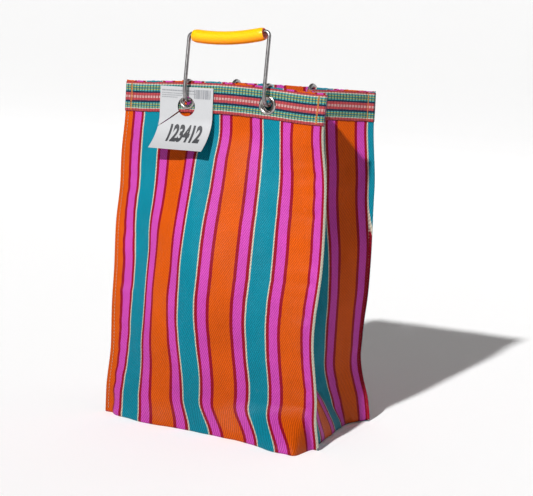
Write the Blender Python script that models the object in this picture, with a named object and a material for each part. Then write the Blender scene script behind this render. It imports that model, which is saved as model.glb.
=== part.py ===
"""A striped woven shopping bag with two wire bail handles and a swing tag, standing open.

Metres, +Z up. The origin is the middle of the flat underside, and the front faces -Y.
"""

import math

import bpy
from mathutils import Matrix, Vector

# Bag body
RIM_HEIGHT = 0.462
MOUTH_WIDTH = 0.300  # over the seam flanges
BELLY_WIDTH = 0.312
BASE_WIDTH = 0.322
MOUTH_DEPTH = 0.150
BASE_DEPTH = 0.180
DEPTH_GROWS, DEPTH_FULL = 0.320, 0.040  # heights between which the depth goes from the mouth's to the base's
# Each gusset is as wide at every height, so it folds in where the bag is shallower
GUSSET_HALF_CLOTH = 0.093
FLANGE = 0.010  # seam allowance that stands out at each corner
CLOTH = 0.0012
GAP = 0.0003  # between pieces that touch
FRONT_BULGE = 0.042
BACK_BULGE = 0.030
FOOT_BULGE = 0.020
CORNER_PUSH = 0.024  # the front foot swells towards its right corner
BULGE_TOP_HEIGHT = 0.150
FOOT_HEIGHT = 0.120
CORNER_STARTS, CORNER_FULL = 0.45, 0.88  # across the front, from its left seam to its right
BELLY_ROUND, BELLY_RISE = 1.5, 1.15  # powers: higher is flatter at the seams and at the mouth
FOOT_SQUARE = 8  # power: higher keeps the foot full for longer towards its corners
CREASE_ROUND = 0.14  # share of the gusset's half that the rounding of its crease takes
SEAM_FOLD = 0.0020  # radius of the bottom fold at the seams
MOST_FOLD = 0.012  # and where the panel swells
FOLD_LEVEL = 0.0010  # level strip past the fold

# Webbing round the mouth
HEM = 0.0015  # cloth that shows above the webbing
BAND_HEIGHT = 0.040
BAND = 0.0014
BAND_TOP = RIM_HEIGHT - HEM
BAND_BOTTOM = BAND_TOP - BAND_HEIGHT
STITCH_WIDTH = 0.0010
STITCH_HEIGHT = 0.0006
STITCH_LENGTH = 0.036
THREAD_RADIUS = 0.0004

# Eyelets
EYELET_DROP = 0.0215  # centre below the rim
EYELET_RADIUS = 0.0120
BORE_RADIUS = 0.0065
BARREL_RADIUS = 0.0071
DOME = 0.0016
WASHER_RADIUS = 0.0110
WASHER = 0.0008
ROUND_SIDES = 24

# Handles
WIRE_RADIUS = 0.0025
LEG_SPACING = 0.120
FRONT_SHIFT = 0.004  # the eyelets are set a little off centre
BACK_SHIFT = -0.003
EYE_RADIUS = 0.013  # centreline of the eye bent at each end of the wire
EYE_TURN = math.radians(304)
BAR_HEIGHT = 0.073  # of the handle's cross bar above the eyes' centre
BEND_RADIUS = 0.006
BAR_SAG = 0.0045
GRIP_LENGTH = 0.104
GRIP_RADIUS = 0.00875
GRIP_BORE = 0.0055
FRONT_LEAN = math.radians(6)  # towards the inside
BACK_FOLD = math.radians(178.5)  # folded down inside the bag

# Swing tag
TAG_WIDTH = 0.081
TAG_LENGTH = 0.088
TAG = 0.0005
TAG_DROP = 0.0040  # top edge below the rim
TAG_HOLE_RADIUS = 0.0125
TAG_STAND = 0.0050  # in front of the eyes' centre
TAG_CURL = 0.027
TAG_FLAT_LENGTH = 0.040
SLIT = 0.0010
SLIT_ANGLE = math.radians(-146)  # from the hole down to the left edge

EYE_DEPTH = MOUTH_DEPTH / 2 + GAP  # of the eyes' centre from the bag's middle plane
EYE_HEIGHT = RIM_HEIGHT - EYELET_DROP + EYE_RADIUS

ORANGE = (0.80, 0.13, 0.006)
TEAL = (0.01, 0.22, 0.35)
PINK = (0.68, 0.09, 0.52)
WEBBING_GREEN = (0.10, 0.30, 0.26)
STITCH_ORANGE = (0.75, 0.28, 0.03)
STEEL = (0.45, 0.44, 0.44)
VINYL = (1.0, 0.35, 0.01)
PAPER = (0.80, 0.81, 0.82)


def smooth(start, end, value):
    """0 at start, 1 at end, and level at both."""
    part = min(1.0, max(0.0, (value - start) / (end - start)))
    return part * part * (3 - 2 * part)


def half_width(z):
    """From the middle to the edge of the seam flange."""
    belly = smooth(BAND_BOTTOM, 0.330, z)
    foot = smooth(0.100, 0.030, z)
    return (MOUTH_WIDTH + (BELLY_WIDTH - MOUTH_WIDTH) * belly + (BASE_WIDTH - BELLY_WIDTH) * foot) / 2


def half_depth(z):
    return (MOUTH_DEPTH + (BASE_DEPTH - MOUTH_DEPTH) * smooth(DEPTH_GROWS, DEPTH_FULL, z)) / 2


def bulge(across, z, most, corner_push):
    """How far a big panel swells, across running from 0 at its left seam to 1 at its right seam."""
    if not 0 < across < 1 or z >= BAND_BOTTOM:
        return 0.0
    rise = min(1.0, (BAND_BOTTOM - z) / (BAND_BOTTOM - BULGE_TOP_HEIGHT))
    belly = most * math.sin(math.pi * across) ** BELLY_ROUND * math.sin(rise * math.pi / 2) ** BELLY_RISE
    swell = FOOT_BULGE + corner_push * smooth(CORNER_STARTS, CORNER_FULL, across)
    foot = swell * (1 - abs(2 * across - 1) ** FOOT_SQUARE)
    share = smooth(FOOT_HEIGHT, 0.0, z)
    return belly * (1 - share) + foot * share


def gusset_fold_in(z):
    return math.sqrt(GUSSET_HALF_CLOTH**2 - half_depth(z) ** 2)


def fold_shape(along):
    """0 at both seams and 1 at the gusset's crease, along running from 0 to 1."""
    side = math.hypot(2 * along - 1, CREASE_ROUND) - CREASE_ROUND
    return 1 - side / (math.hypot(1, CREASE_ROUND) - CREASE_ROUND)


def material(name, colour, roughness, metallic=0.0):
    made = bpy.data.materials.new(name)
    made.use_nodes = True
    shader = made.node_tree.nodes["Principled BSDF"]
    shader.inputs["Base Color"].default_value = (*colour, 1)
    shader.inputs["Roughness"].default_value = roughness
    shader.inputs["Metallic"].default_value = metallic
    return made


def add_object(name, data, made_of):
    data.materials.append(made_of)
    obj = bpy.data.objects.new(name, data)
    bpy.context.scene.collection.objects.link(obj)
    return obj


def sheet(name, rows, thickness, made_of, turned=False, grows_out=False):
    """A closed sheet. The rows are the points of one face, and the thickness is added behind or in front."""
    count = len(rows[0])
    faces = []
    for row in range(len(rows) - 1):
        for column in range(count - 1):
            first = row * count + column
            face = (first, first + 1, first + count + 1, first + count)
            faces.append(face[::-1] if turned else face)
    mesh = bpy.data.meshes.new(name)
    mesh.from_pydata([point for row in rows for point in row], [], faces)
    obj = add_object(name, mesh, made_of)
    solidify = obj.modifiers.new("Thickness", "SOLIDIFY")
    solidify.thickness = thickness
    solidify.offset = 1 if grows_out else -1
    solidify.use_even_offset = True
    return obj


def spun_ring(name, profile, centre, outward, made_of):
    """A closed profile of (radius, height) pairs, turned about Y. Its height runs to outward."""
    mesh = bpy.data.meshes.new(name)
    points = []
    faces = []
    for side in range(ROUND_SIDES):
        angle = 2 * math.pi * side / ROUND_SIDES
        following = (side + 1) % ROUND_SIDES
        for index, (radius, height) in enumerate(profile):
            points.append((radius * math.cos(angle), outward * height, radius * math.sin(angle)))
            after = (index + 1) % len(profile)
            face = (
                side * len(profile) + index,
                side * len(profile) + after,
                following * len(profile) + after,
                following * len(profile) + index,
            )
            faces.append(face[::-1] if outward > 0 else face)
    mesh.from_pydata(points, [], faces)
    mesh.shade_smooth()
    mesh.set_sharp_from_angle(angle=math.radians(40))
    ring = add_object(name, mesh, made_of)
    ring.location = centre
    return ring


def tube_along(name, points, radius, made_of):
    curve = bpy.data.curves.new(name, "CURVE")
    curve.dimensions = "3D"
    curve.bevel_depth = radius
    curve.bevel_resolution = 2
    curve.use_fill_caps = True
    spline = curve.splines.new("POLY")
    spline.points.add(len(points) - 1)
    for point, place in zip(spline.points, points):
        point.co = (*place, 1)
    return add_object(name, curve, made_of)


def block(name, low, high, made_of):
    ends = list(zip(low, high))
    corners = [(x, y, z) for x in ends[0] for y in ends[1] for z in ends[2]]
    sides = [(0, 1, 3, 2), (4, 6, 7, 5), (0, 4, 5, 1), (2, 3, 7, 6), (0, 2, 6, 4), (1, 5, 7, 3)]
    mesh = bpy.data.meshes.new(name)
    mesh.from_pydata(corners, [], sides)
    return add_object(name, mesh, made_of)


def cut(obj, cutter):
    cutter.hide_render = True
    cutter.display_type = "WIRE"
    boolean = obj.modifiers.new(cutter.name, "BOOLEAN")
    boolean.operation = "DIFFERENCE"
    boolean.solver = "EXACT"
    boolean.object = cutter


def hole_cutter(name, centre, radius, made_of):
    """A cylinder along Y."""
    reach = 0.01
    turns = [2 * math.pi * k / ROUND_SIDES for k in range(ROUND_SIDES)]
    profile = [(math.cos(turn), math.sin(turn)) for turn in turns]
    points = [(radius * x, y, radius * z) for y in (-reach, reach) for x, z in profile]
    around = list(range(ROUND_SIDES))
    faces = [tuple(around), tuple(k + ROUND_SIDES for k in reversed(around))]
    for k in around:
        after = (k + 1) % ROUND_SIDES
        faces.append((after, k, k + ROUND_SIDES, after + ROUND_SIDES))
    mesh = bpy.data.meshes.new(name)
    mesh.from_pydata(points, [], faces)
    cutter = add_object(name, mesh, made_of)
    cutter.location = centre
    return cutter


def panel_columns(count=14):
    """Places across a big panel: its two flange edges as None, and from 0 to 1 between the seams."""
    inner = [(1 - math.cos(math.pi * k / count)) / 2 for k in range(count + 1)]
    return ["left"] + inner + ["right"]


def panel_point(column, z, facing, most, corner_push):
    """A point on a big panel's outer face. facing is -1 for the front and 1 for the back."""
    seam = half_width(z) - FLANGE
    if column == "left":
        return Vector((-half_width(z), facing * half_depth(z), z))
    if column == "right":
        return Vector((half_width(z), facing * half_depth(z), z))
    swell = bulge(column, z, most, corner_push)
    return Vector((seam * (2 * column - 1), facing * (half_depth(z) + swell), z))


def fold_radius(column, corner_push):
    """Radius of the fold under the panel: small at the seams, larger where the foot swells."""
    if column in ("left", "right"):
        return SEAM_FOLD
    swell = bulge(column, 1e-6, 0.0, corner_push)
    return SEAM_FOLD + min(MOST_FOLD - SEAM_FOLD, swell / 2)


def fold_edge(column, facing, most, corner_push):
    """Where the panel's fold meets the flat base."""
    radius = fold_radius(column, corner_push)
    point = panel_point(column, radius, facing, most, corner_push)
    return point.x, point.y - facing * (radius + FOLD_LEVEL)


def big_panel(name, facing, most, corner_push, made_of):
    """The front or the back: flat at the mouth, swollen below, and folded under at the foot."""
    rows_above, fold_steps = 15, 4
    columns = panel_columns()
    rows = [[panel_point(column, RIM_HEIGHT, facing, most, corner_push) for column in columns]]
    for step in range(rows_above + 1):
        row = []
        for column in columns:
            lowest = fold_radius(column, corner_push)
            z = BAND_BOTTOM + (lowest - BAND_BOTTOM) * step / rows_above
            row.append(panel_point(column, z, facing, most, corner_push))
        rows.append(row)
    for step in range(1, fold_steps + 1):
        turn = math.pi / 2 * step / fold_steps
        row = []
        for column in columns:
            radius = fold_radius(column, corner_push)
            start = panel_point(column, radius, facing, most, corner_push)
            inward = radius * (1 - math.cos(turn))
            row.append(Vector((start.x, start.y - facing * inward, radius * (1 - math.sin(turn)))))
        rows.append(row)
    edges = [fold_edge(column, facing, most, corner_push) for column in columns]
    rows.append([Vector((x, y, 0)) for x, y in edges])
    return sheet(name, rows, CLOTH, made_of, turned=facing < 0)


def gusset_path(z, steps=12):
    """The right gusset's outer face at one height, as (x, y) from the front flange to the back one."""
    seam_depth = half_depth(z) - 2 * CLOTH - GAP
    seam = half_width(z) - FLANGE
    path = [(half_width(z), -seam_depth)]
    for step in range(steps + 1):
        along = step / steps
        path.append((seam - gusset_fold_in(z) * fold_shape(along), seam_depth * (2 * along - 1)))
    path.append((half_width(z), seam_depth))
    return path


def offset_path(path, distance):
    """The path moved to its right-hand side, that is outward, by the same distance everywhere."""
    moved = []
    for index, (x, y) in enumerate(path):
        before = Vector(path[max(index - 1, 0)])
        after = Vector(path[min(index + 1, len(path) - 1)])
        here = Vector((x, y))
        incoming = (here - before).normalized() if index else (after - here).normalized()
        outgoing = (after - here).normalized() if index < len(path) - 1 else incoming
        first = Vector((incoming.y, -incoming.x))
        second = Vector((outgoing.y, -outgoing.x))
        middle = (first + second).normalized()
        moved.append(tuple(here + middle * distance / middle.dot(first)))
    return moved


def gusset(name, side, made_of):
    rows_below = 13
    bottom = SEAM_FOLD + GAP
    step = (bottom - BAND_BOTTOM) / rows_below
    heights = [RIM_HEIGHT] + [BAND_BOTTOM + step * k for k in range(rows_below + 1)]
    rows = [[Vector((side * x, y, z)) for x, y in gusset_path(z)] for z in heights]
    return sheet(name, rows, CLOTH, made_of, turned=side > 0)


def side_webbing(name, side, made_of):
    path = offset_path(gusset_path(BAND_TOP), GAP)
    rows = [[Vector((side * x, y, z)) for x, y in path] for z in (BAND_TOP, BAND_BOTTOM)]
    return sheet(name, rows, BAND, made_of, turned=side > 0, grows_out=True)


def base_panel(made_of):
    """The flat underside, from the front fold to the back fold, notched where the gussets fold in."""
    hem = 0.003
    steps = 16
    columns = panel_columns()
    rows = []
    for step in range(steps + 1):
        along = (1 - math.cos(math.pi * step / steps)) / 2
        flange_gone = (FLANGE - hem) * smooth(0.0, 0.03, min(along, 1 - along))
        notch = gusset_fold_in(0) * fold_shape(along) + flange_gone
        row = []
        for column in columns:
            front_x, front_y = fold_edge(column, -1, FRONT_BULGE, CORNER_PUSH)
            back_y = fold_edge(column, 1, BACK_BULGE, 0.0)[1]
            y = front_y + GAP + (back_y - front_y - 2 * GAP) * along
            row.append(Vector((front_x * (half_width(0) - notch) / half_width(0), y, 0)))
        rows.append(row)
    return sheet("base_panel", rows, CLOTH, made_of, turned=True)


def flat_webbing(name, facing, made_of):
    near = MOUTH_DEPTH / 2 + GAP
    depths = sorted((facing * near, facing * (near + BAND)))
    low = (-MOUTH_WIDTH / 2, depths[0], BAND_BOTTOM)
    high = (MOUTH_WIDTH / 2, depths[1], BAND_TOP)
    return block(name, low, high, made_of)


def end_stitches(made_of):
    """The line of thread across each end of each length of webbing."""
    middle = (BAND_TOP + BAND_BOTTOM) / 2
    near = MOUTH_DEPTH / 2 + 2 * GAP + BAND
    flange_face = MOUTH_DEPTH / 2 - 2 * CLOTH - 3 * GAP - BAND
    for facing, place in ((-1, "front"), (1, "back")):
        for side, hand in ((-1, "left"), (1, "right")):
            x = side * (MOUTH_WIDTH / 2 - FLANGE)
            depths = sorted((facing * near, facing * (near + STITCH_HEIGHT)))
            low = (x - STITCH_WIDTH / 2, depths[0], middle - STITCH_LENGTH / 2)
            high = (x + STITCH_WIDTH / 2, depths[1], middle + STITCH_LENGTH / 2)
            block(f"end_stitch_{place}_{hand}", low, high, made_of)
            x = side * (MOUTH_WIDTH / 2 - FLANGE / 2)
            depths = sorted((facing * flange_face, facing * (flange_face - STITCH_HEIGHT)))
            low = (x - STITCH_WIDTH / 2, depths[0], middle - STITCH_LENGTH / 2)
            high = (x + STITCH_WIDTH / 2, depths[1], middle + STITCH_LENGTH / 2)
            block(f"side_stitch_{place}_{hand}", low, high, made_of)


def seam_threads(made_of):
    """The thread that closes each corner seam, on the outer face of the flange."""
    steps = 16
    top, bottom = BAND_BOTTOM - 0.002, 0.006
    for facing, place in ((-1, "front"), (1, "back")):
        for side, hand in ((-1, "left"), (1, "right")):
            points = []
            for step in range(steps + 1):
                z = top + (bottom - top) * step / steps
                stand = half_depth(z) + GAP + THREAD_RADIUS
                points.append((side * (half_width(z) - FLANGE / 2), facing * stand, z))
            tube_along(f"seam_thread_{place}_{hand}", points, THREAD_RADIUS, made_of)


def eyelet_set(place, facing, x, cloth_parts, steel):
    """A domed flange with its barrel on the outside, a washer inside, and their hole in the layers."""
    z = RIM_HEIGHT - EYELET_DROP
    outer_face = MOUTH_DEPTH / 2 + GAP + BAND
    inner_face = MOUTH_DEPTH / 2 - CLOTH
    barrel_end = inner_face - 2 * GAP - WASHER
    lip = 0.0011
    flange_foot = outer_face + GAP
    profile = [
        (BORE_RADIUS, flange_foot + 0.6 * DOME),
        (BORE_RADIUS + 0.0012, flange_foot + DOME),
        (EYELET_RADIUS - 0.0022, flange_foot + 0.8 * DOME),
        (EYELET_RADIUS, flange_foot),
        (BARREL_RADIUS, flange_foot),
        (BARREL_RADIUS, barrel_end),
        (BARREL_RADIUS + lip, barrel_end - 0.0002),
        (BARREL_RADIUS + 0.6 * lip, barrel_end - 0.0009),
        (BORE_RADIUS, barrel_end - 0.0006),
    ]
    spun_ring(f"eyelet_{place}", profile, (x, 0, z), facing, steel)
    washer = [
        (BARREL_RADIUS + GAP, inner_face - GAP),
        (WASHER_RADIUS, inner_face - GAP),
        (WASHER_RADIUS - 0.0008, inner_face - GAP - WASHER),
        (BARREL_RADIUS + GAP, inner_face - GAP - WASHER),
    ]
    spun_ring(f"washer_{place}", washer, (x, 0, z), facing, steel)
    wall = (x, facing * MOUTH_DEPTH / 2, z)
    cutter = hole_cutter(f"hole_cutter_{place}", wall, BARREL_RADIUS + GAP, steel)
    for cloth_part in cloth_parts:
        cut(cloth_part, cutter)


def bar_points(steps=10):
    """The handle's cross bar, sagging between its two bends, as (x, z)."""
    tilt = math.atan(4 * BAR_SAG / GRIP_LENGTH)
    reach = LEG_SPACING / 2 - BEND_RADIUS - BEND_RADIUS * math.sin(tilt)
    height = BAR_HEIGHT - BEND_RADIUS * (1 - math.cos(tilt))
    places = [2 * k / steps - 1 for k in range(steps + 1)]
    return [(reach * u, height - BAR_SAG * (1 - u * u)) for u in places]


def wire_points(outward):
    """Eye, leg, bend, bar and the same again mirrored, with the eyes' centre line as the X axis."""
    eye_steps, bend_steps = 18, 4
    tilt = math.atan(4 * BAR_SAG / GRIP_LENGTH)
    half = []
    for step in range(eye_steps + 1):
        turn = EYE_TURN * (1 - step / eye_steps)
        across, up = outward * EYE_RADIUS * math.cos(turn), -EYE_RADIUS * math.sin(turn)
        half.append((LEG_SPACING / 2, across, up))
    for step in range(bend_steps):
        turn = (math.pi / 2 + tilt) * step / bend_steps
        x = LEG_SPACING / 2 - BEND_RADIUS * (1 - math.cos(turn))
        half.append((x, outward * EYE_RADIUS, BAR_HEIGHT - BEND_RADIUS * (1 - math.sin(turn))))
    left = [(-x, y, z) for x, y, z in half]
    bar = [(x, outward * EYE_RADIUS, z) for x, z in bar_points()]
    return left + bar + half[::-1]


def grip(name, outward, made_of):
    """A tube as long as the bar, resting on the wire that runs through it."""
    sides = 16
    drop = GRIP_BORE - WIRE_RADIUS - GAP
    path = bar_points(8)
    mesh = bpy.data.meshes.new(name)
    points = []
    for index, (x, z) in enumerate(path):
        before, after = path[max(index - 1, 0)], path[min(index + 1, len(path) - 1)]
        lean = math.atan2(after[1] - before[1], after[0] - before[0])
        for radius in (GRIP_RADIUS, GRIP_BORE):
            for side in range(sides):
                turn = 2 * math.pi * side / sides
                up = radius * math.cos(turn)
                place = (x - up * math.sin(lean), outward * EYE_RADIUS + radius * math.sin(turn))
                points.append((*place, z - drop + up * math.cos(lean)))
    faces = []
    ring = 2 * sides
    last = (len(path) - 1) * ring
    for side in range(sides):
        after = (side + 1) % sides
        bore_side, bore_after = sides + side, sides + after
        for start in range(0, last, ring):
            end = start + ring
            faces.append((start + side, end + side, end + after, start + after))
            faces.append((start + bore_after, end + bore_after, end + bore_side, start + bore_side))
        faces.append((side, after, bore_after, bore_side))
        faces.append((last + after, last + side, last + bore_side, last + bore_after))
    mesh.from_pydata(points, [], faces)
    mesh.shade_smooth()
    mesh.set_sharp_from_angle(angle=math.radians(40))
    return add_object(name, mesh, made_of)


def handle(place, facing, shift, fold, steel, vinyl):
    """A wire and its grip on an empty at the eyes' centre line. fold tips them towards the inside."""
    axis = bpy.data.objects.new(f"handle_axis_{place}", None)
    bpy.context.scene.collection.objects.link(axis)
    axis.location = (shift, facing * EYE_DEPTH, EYE_HEIGHT)
    axis.rotation_euler = (facing * fold, 0, 0)
    wire = tube_along(f"handle_wire_{place}", wire_points(facing), WIRE_RADIUS, steel)
    for piece in (wire, grip(f"grip_{place}", facing, vinyl)):
        piece.parent = axis


def tag(made_of):
    """A paper tag hung on the front left eye, its lower part curled away from the bag."""
    rows_down, columns_across = 14, 8
    top = RIM_HEIGHT - TAG_DROP
    middle = FRONT_SHIFT - LEG_SPACING / 2
    face = -(EYE_DEPTH + TAG_STAND)
    rows = []
    for row in range(rows_down + 1):
        down = TAG_LENGTH * row / rows_down
        past = max(0.0, down - TAG_FLAT_LENGTH) / (TAG_LENGTH - TAG_FLAT_LENGTH)
        out = TAG_CURL * past**1.7
        rise = 0.006 * past**2
        line = []
        for column in range(columns_across + 1):
            x = middle + TAG_WIDTH * (column / columns_across - 0.5)
            line.append(Vector((x, face - out, top - down + rise)))
        rows.append(line)
    made = sheet("swing_tag", rows, TAG, made_of, turned=True)
    hole_centre = Vector((middle, face, EYE_HEIGHT - EYE_RADIUS + 0.0042 - TAG_HOLE_RADIUS))
    cut(made, hole_cutter("tag_hole_cutter", hole_centre, TAG_HOLE_RADIUS, made_of))
    slit = block("slit_cutter", (0, -0.01, -SLIT / 2), (TAG_WIDTH, 0.01, SLIT / 2), made_of)
    slit.matrix_world = Matrix.Translation(hole_centre) @ Matrix.Rotation(-SLIT_ANGLE, 4, "Y")
    cut(made, slit)


def build():
    for obj in list(bpy.data.objects):
        bpy.data.objects.remove(obj)
    striped = material("striped_cloth", ORANGE, 0.40)
    gusset_cloth = material("gusset_cloth", PINK, 0.45)
    base_cloth = material("base_cloth", TEAL, 0.45)
    webbing = material("webbing", WEBBING_GREEN, 0.80)
    thread = material("thread", STITCH_ORANGE, 0.60)
    steel = material("steel", STEEL, 0.30, 1.0)
    vinyl = material("vinyl", VINYL, 0.35)
    paper = material("paper", PAPER, 0.70)

    panels = {
        -1: big_panel("front_panel", -1, FRONT_BULGE, CORNER_PUSH, striped),
        1: big_panel("back_panel", 1, BACK_BULGE, 0.0, striped),
    }
    base_panel(base_cloth)
    for side, hand in ((-1, "left"), (1, "right")):
        gusset(f"gusset_{hand}", side, gusset_cloth)
        side_webbing(f"webbing_{hand}", side, webbing)
    end_stitches(thread)
    seam_threads(thread)
    sides = ((-1, "front", FRONT_SHIFT, FRONT_LEAN), (1, "back", BACK_SHIFT, BACK_FOLD))
    for facing, place, shift, fold in sides:
        layers = (panels[facing], flat_webbing(f"webbing_{place}", facing, webbing))
        for side, hand in ((-1, "left"), (1, "right")):
            eyelet_set(f"{place}_{hand}", facing, shift + side * LEG_SPACING / 2, layers, steel)
        handle(place, facing, shift, fold, steel, vinyl)
    tag(paper)


build()
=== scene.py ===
"""Looks of the striped woven shopping bag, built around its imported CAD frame.

Metres, +Z up, the front faces -Y, and the origin is the middle of the underside, as in the frame.
"""

import random
from math import atan, cos, hypot, pi, radians, sin

import bmesh
import bpy
import numpy as np
from mathutils import Matrix, Vector, noise


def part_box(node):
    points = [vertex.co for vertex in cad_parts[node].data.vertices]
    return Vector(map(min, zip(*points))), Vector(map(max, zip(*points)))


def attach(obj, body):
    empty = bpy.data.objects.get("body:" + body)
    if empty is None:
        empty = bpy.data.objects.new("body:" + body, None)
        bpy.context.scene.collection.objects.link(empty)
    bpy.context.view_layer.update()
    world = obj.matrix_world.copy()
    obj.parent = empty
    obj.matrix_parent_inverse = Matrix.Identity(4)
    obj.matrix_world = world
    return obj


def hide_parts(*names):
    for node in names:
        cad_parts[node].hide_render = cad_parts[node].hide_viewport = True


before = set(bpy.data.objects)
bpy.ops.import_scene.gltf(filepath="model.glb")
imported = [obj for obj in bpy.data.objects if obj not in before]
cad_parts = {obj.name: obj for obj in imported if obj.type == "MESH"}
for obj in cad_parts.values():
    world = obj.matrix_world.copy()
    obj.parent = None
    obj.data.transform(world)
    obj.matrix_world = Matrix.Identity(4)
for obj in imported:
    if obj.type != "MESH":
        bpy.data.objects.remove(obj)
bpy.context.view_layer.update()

# Sizes read from the frame
band_low, band_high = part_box("webbing_front")
panel_low, panel_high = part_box("front_panel")
GAP = 0.0003
MOUTH_WIDTH = band_high.x - band_low.x
MOUTH_DEPTH = -2 * (band_high.y + GAP)
RIM_HEIGHT = panel_high.z
BAND_BOTTOM = band_low.z
BAND_HEIGHT = band_high.z - band_low.z
BAND = band_high.y - band_low.y
BASE_WIDTH = panel_high.x - panel_low.x

# Bag body, as the CAD has it
BELLY_WIDTH = 0.312
BASE_DEPTH = 0.18
DEPTH_GROWS, DEPTH_FULL = 0.32, 0.04
GUSSET_HALF_CLOTH = 0.093
FLANGE = 0.01
CLOTH = 0.001
FOOT_HEIGHT = 0.055
FOLD_RADIUS = 0.003
CREASE_ROUND = 0.05
BELLY_FULL = 0.33
FOOT_SPREADS = (0.1, 0.03)
ROLLED = (0.33, 0.23)  # heights where the right corners' flanges start and finish rolling back
ROLLED_FLANGE = {-1: 0.007, 1: 0.003}  # and what then still shows of the front one and of the back one
BASE_TUCK = 0.014
SEAM_WIDTH = MOUTH_WIDTH - 2 * FLANGE
FLANGE_ACROSS = FLANGE / SEAM_WIDTH  # a flange as a share of a big panel between its seams
GUSSET_WIDTH = 2 * (GUSSET_HALF_CLOTH + FLANGE)
FLANGE_ALONG = FLANGE / GUSSET_WIDTH
FACINGS = ((-1, "front"), (1, "back"))
SIDES = ((-1, "left"), (1, "right"))
CORNERS = [(*facing, *side) for facing in FACINGS for side in SIDES]

# How the worn cloth strays from the plain shape: (height, distance outward) down each corner edge
EDGE_WAVES = {
    "front_left": (
        (0, 0), (0.1, 0.0005), (0.158, 0.0035), (0.2, 0.004), (0.27, 0.006),
        (0.325, 0.002), (0.38, 0.004), (0.41, 0.0035), (0.462, 0.0025),
    ),
    "front_right": (
        (0, 0.005), (0.039, 0), (0.066, 0.001), (0.092, -0.001), (0.117, -0.006), (0.143, -0.009),
        (0.17, -0.0085), (0.22, -0.004), (0.3, -0.0033), (0.35, -0.004), (0.414, -0.006), (0.462, -0.003),
    ),
    "back_right": (
        (0, 0.004), (0.03, 0), (0.057, -0.0065), (0.086, -0.0095), (0.115, -0.008), (0.144, -0.0057),
        (0.173, -0.002), (0.23, 0.0017), (0.314, 0.0025), (0.424, 0.002), (0.462, 0.002),
    ),
    "back_left": (
        (0, 0.002), (0.04, 0), (0.1, -0.006), (0.17, -0.003), (0.3, 0.003), (0.462, 0.002),
    ),
}
# Rim height above the CAD's, across each big panel from its left seam to its right one
RIM_LIFT = {
    -1: ((0, 0.0005), (0.25, 0.003), (0.5, 0.0045), (0.75, 0.002), (1, -0.002)),
    1: ((0, 0.001), (0.45, 0.002), (1, 0.0005)),
}
LIFT_STARTS = 0.3
# The gusset's crease turns towards the back near the floor, where the fold opens out
TUCK_HEIGHT = 0.062
TUCK_SHIFT = 0.052
CREASE_EXTRA = ((0, -0.009), (0.03, 0.002), (0.06, 0.012), (0.11, 0.004), (0.16, 0))
CLOTH_SEEDS = {-1: 3.1, 1: 11.7}
# Swell of each big panel at its middle, by height, and of its foot, across it
BELLY = {
    -1: ((0, 0.008), (0.039, 0.013), (0.122, 0.028), (0.177, 0.036), (0.25, 0.036), (0.312, 0.027),
         (0.36, 0.012), (0.4, -0.004), (0.422, -0.001), (0.462, 0)),
    1: ((0, 0.012), (0.06, 0.02), (0.17, 0.03), (0.26, 0.026), (0.34, 0.014), (0.42, 0), (0.462, 0)),
}
# Powers that shape the swell across: (height, power of the left part) and the same for the right part
BELLY_LEFT = ((0, 0.7), (0.039, 0.8), (0.122, 1.6), (0.177, 2), (0.312, 3.2), (0.4, 3.6))
BELLY_RIGHT = ((0, 1.2), (0.039, 1.4), (0.122, 2.4), (0.177, 2.6), (0.312, 3.6), (0.4, 4))
FOOT_SWELL = {
    -1: ((0, 0), (0.03, 0.008), (0.12, 0.016), (0.25, 0.021), (0.42, 0.018), (0.57, 0.021),
         (0.75, 0.034), (0.88, 0.042), (0.96, 0.036), (1, 0.004)),
    1: ((0, 0), (0.1, 0.01), (0.5, 0.016), (0.9, 0.01), (1, 0)),
}
# The front also leans out to the right: how far at each height, and which share of it across the panel
SPILL = (
    (0, 0.013), (0.04, 0.004), (0.09, 0.007), (0.13, 0.013), (0.18, 0.01), (0.22, 0.006), (0.28, 0.003),
    (0.33, 0),
)
SPILL_ACROSS = ((0, 0), (0.25, 0.3), (0.6, 0.5), (0.8, 0.85), (0.94, 1), (1, 0.2))

# Stripes across the cloth, one repeat: (width in millimetres, colour)
STRIPES = (
    (1.6, "cream"), (24, "teal"), (1.6, "cream"), (4, "crimson"), (11, "pink"), (4, "crimson"),
    (25.8, "orange"), (4, "crimson"), (11, "pink"), (4, "crimson"),
)
REPEAT = sum(width for width, _ in STRIPES) / 1000
COLOURS = {
    "orange": (0.565, 0.078, 0.0005),
    "crimson": (0.26, 0.002, 0.016),
    "pink": (0.5, 0.055, 0.36),
    "teal": (0.0005, 0.19, 0.265),
    "cream": (0.5, 0.46, 0.36),
}
# Place in the repeat of points across the front cloth: (share of its width, place)
FRONT_PLACES = ((0, -0.032), (0.1, 0), (0.944, 0.254), (1, 0.2755))
GUSSET_SEAM = 0.091  # and of a gusset's back seam, counted towards the front
ROLLED_EDGE = 0.089  # and of the right gusset's back edge where it has rolled over
FLANGE_COLUMNS = 2

PAINTED_SHADE_HEIGHT = 0.3  # below it the cloth's colour is painted darker towards the floor, painted shade (the gussets are painted a little lighter there, painted light)
RIB_PITCH = 0.0044  # of the webbing

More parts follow.
